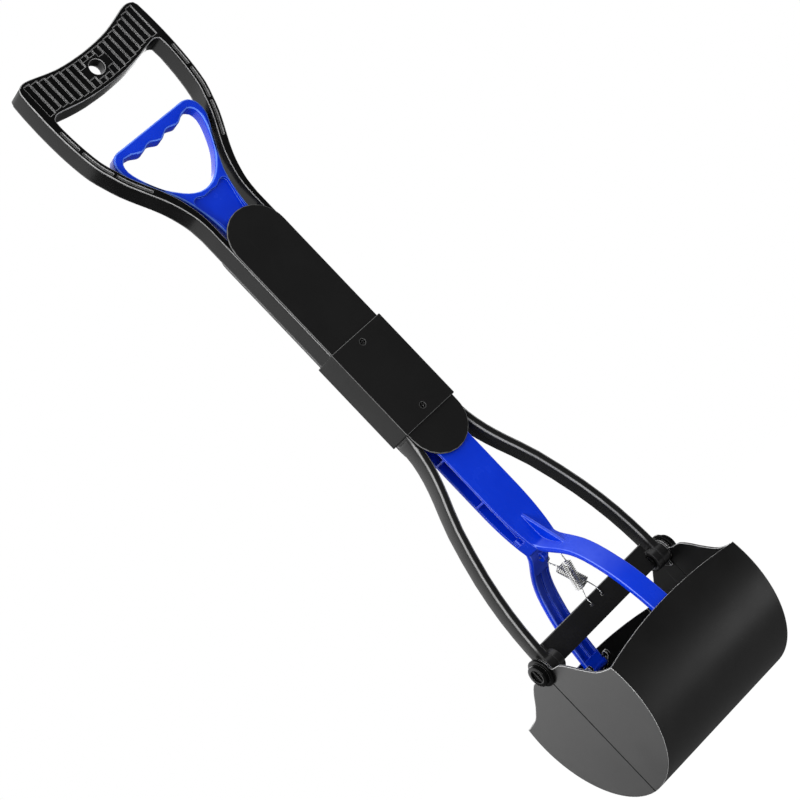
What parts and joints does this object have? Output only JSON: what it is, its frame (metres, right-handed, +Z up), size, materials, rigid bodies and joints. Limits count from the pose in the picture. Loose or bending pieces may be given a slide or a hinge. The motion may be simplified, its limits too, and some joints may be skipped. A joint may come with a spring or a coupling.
{
  "type": "pooper scooper",
  "caption": "Folding pooper scooper with a ribbed D grip, blue squeeze handle, locking sleeve, double fold joint, sprung fork and clamshell jaws on bowed side arms.",
  "frame": {"origin": "centre of the hanging hole in the grip", "axes": "+Z up along the tool towards the grip, +X to the right seen from the front cover, +Y to the back, where the tool folds to"},
  "size_m": [0.1676, 0.156, 0.7145],
  "materials": {
    "body_plastic": "moulded black, satin to gloss",
    "cover_plastic": "fine matte black",
    "jaw_plastic": "satin black with a broad sheen",
    "blue_plastic": "moulded royal blue, semi-gloss",
    "dark_steel": "blackened steel",
    "zinc": "bright zinc"
  },
  "bodies": {
    "upper_frame": {"grip_frame": "body_plastic", "upper_front_cover": "cover_plastic", "upper_back_cover": "cover_plastic"},
    "lock_sleeve": {"lock_sleeve": "cover_plastic", "sleeve_screw_top": "dark_steel", "sleeve_screw_bottom": "dark_steel"},
    "pull_handle": {"pull_handle": "blue_plastic", "upper_rod_pin": "zinc"},
    "fold_link": {"left_fold_link": "dark_steel", "right_fold_link": "dark_steel", "upper_left_fold_pin": "zinc", "upper_right_fold_pin": "zinc", "lower_left_fold_pin": "zinc", "lower_right_fold_pin": "zinc"},
    "rod_link": {"rod_link": "blue_plastic"},
    "lower_frame": {"lower_left_arm": "body_plastic", "lower_right_arm": "body_plastic", "lower_front_cover": "cover_plastic", "lower_back_cover": "cover_plastic", "crossbar": "body_plastic", "left_pivot_pin": "dark_steel", "right_pivot_pin": "dark_steel", "left_pivot_cap": "body_plastic", "right_pivot_cap": "body_plastic", "left_spring": "zinc", "right_spring": "zinc"},
    "fork": {"fork": "blue_plastic", "lower_rod_pin": "zinc", "front_fork_pin": "zinc", "rear_fork_pin": "zinc"},
    "front_jaw": {"front_jaw": "jaw_plastic"},
    "rear_jaw": {"rear_jaw": "jaw_plastic"}
  },
  "joints": [
    {"name": "pull", "type": "slide", "parent": "upper_frame", "child": "pull_handle", "axis": [0, 0, 1], "range_m": [0, 0.035], "stiffness_N_per_m": 300, "springref_m": -0.02},
    {"name": "fold_upper", "type": "hinge", "parent": "upper_frame", "child": "fold_link", "pos_m": [0, 0, -0.32565], "axis": [1, 0, 0], "range_deg": [0, 73.5]},
    {"name": "fold_lower", "type": "hinge", "parent": "fold_link", "child": "lower_frame", "pos_m": [0, 0, -0.34755], "axis": [1, 0, 0], "range_deg": [0, 73.5]},
    {"name": "sleeve_slide", "type": "slide", "parent": "upper_frame", "child": "lock_sleeve", "axis": [0, 0, 1], "range_m": [0, 0.053]},
    {"name": "rod_link_slide", "type": "slide", "parent": "fold_link", "child": "rod_link", "axis": [0, 0, 1], "range_m": [0, 0.035]},
    {"name": "fork_slide", "type": "slide", "parent": "lower_frame", "child": "fork", "axis": [0, 0, 1], "range_m": [0, 0.035], "deforming": ["left_spring", "right_spring"]},
    {"name": "front_jaw_hinge", "type": "hinge", "parent": "lower_frame", "child": "front_jaw", "pos_m": [0, 0, -0.5664], "axis": [-1, 0, 0], "range_deg": [0, 28.5]},
    {"name": "rear_jaw_hinge", "type": "hinge", "parent": "lower_frame", "child": "rear_jaw", "pos_m": [0, 0, -0.5664], "axis": [1, 0, 0], "range_deg": [0, 28.5]}
  ],
  "couplings": [
    {"joint": "fork_slide", "follows": "pull", "ratio": 1},
    {"joint": "rod_link_slide", "follows": "pull", "ratio": 1},
    {"joint": "front_jaw_hinge", "follows": "pull", "rad_per_m": 14.213},
    {"joint": "rear_jaw_hinge", "follows": "pull", "rad_per_m": 14.213},
    {"joint": "fold_lower", "follows": "fold_upper", "ratio": 1},
    {"joint": "sleeve_slide", "follows": "fold_upper", "m_per_rad": 0.0413}
  ]
}
